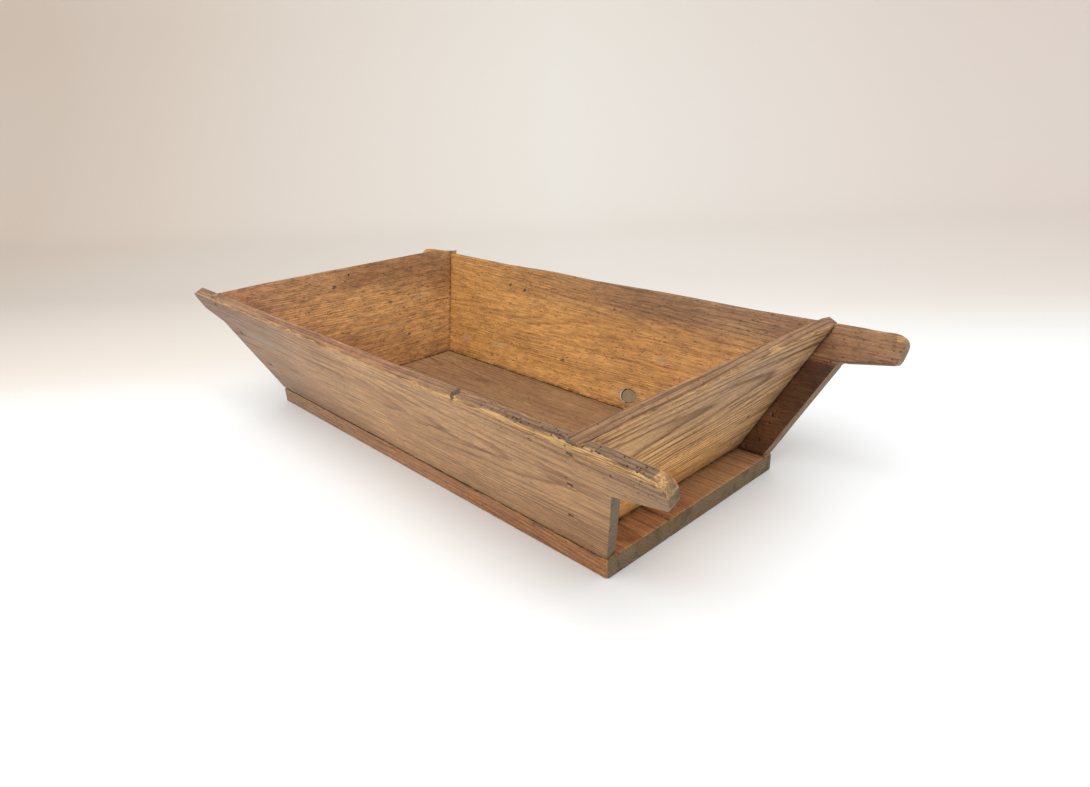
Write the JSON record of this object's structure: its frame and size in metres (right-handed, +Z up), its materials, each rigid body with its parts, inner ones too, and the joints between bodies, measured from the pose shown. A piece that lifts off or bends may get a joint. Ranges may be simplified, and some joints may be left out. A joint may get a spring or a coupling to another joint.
{
  "type": "splayed wooden trough",
  "caption": "Shallow oblong wooden trough with splayed nailed sides and ends; the side boards run on as four rounded carrying horns. Holds dough, soap or dry goods.",
  "frame": {"origin": "centre of the underside, on the surface that the trough stands on", "axes": "+X along the trough's length, +Z up, -Y towards the board with the worn, worm-eaten top edge"},
  "size_m": [0.9974, 0.4984, 0.207],
  "materials": {
    "pine_front_side": "waxy old pine, grey-brown outside with an ochre worn top edge, worm holes",
    "pine_rear_side": "warm honey-brown old pine inside, darker along the top, worm holes",
    "pine_left_end": "orange-brown old pine",
    "pine_right_end": "tan old pine with strong dark grain lines and a splintered top edge",
    "pine_front_plank": "red-brown old pine, rounded and dusty at the rim",
    "pine_rear_plank": "brown old pine, grey end grain",
    "dead_knot": "greenish-grey dead knot",
    "forged_iron": "dark rusted cut nails, hammered flush"
  },
  "bodies": {
    "root": {"bottom_plank_front": "pine_front_plank", "bottom_plank_rear": "pine_rear_plank", "front_side_board": "pine_front_side", "rear_side_board": "pine_rear_side", "left_end_board": "pine_left_end", "right_end_board": "pine_right_end", "loose_knot": "dead_knot", "side_nails_front_left": "forged_iron", "side_nails_front_right": "forged_iron", "side_nails_rear_left": "forged_iron", "side_nails_rear_right": "forged_iron", "bottom_nails_front": "forged_iron", "bottom_nails_rear": "forged_iron", "bottom_nails_left": "forged_iron", "bottom_nails_right": "forged_iron"}
  },
  "joints": []
}
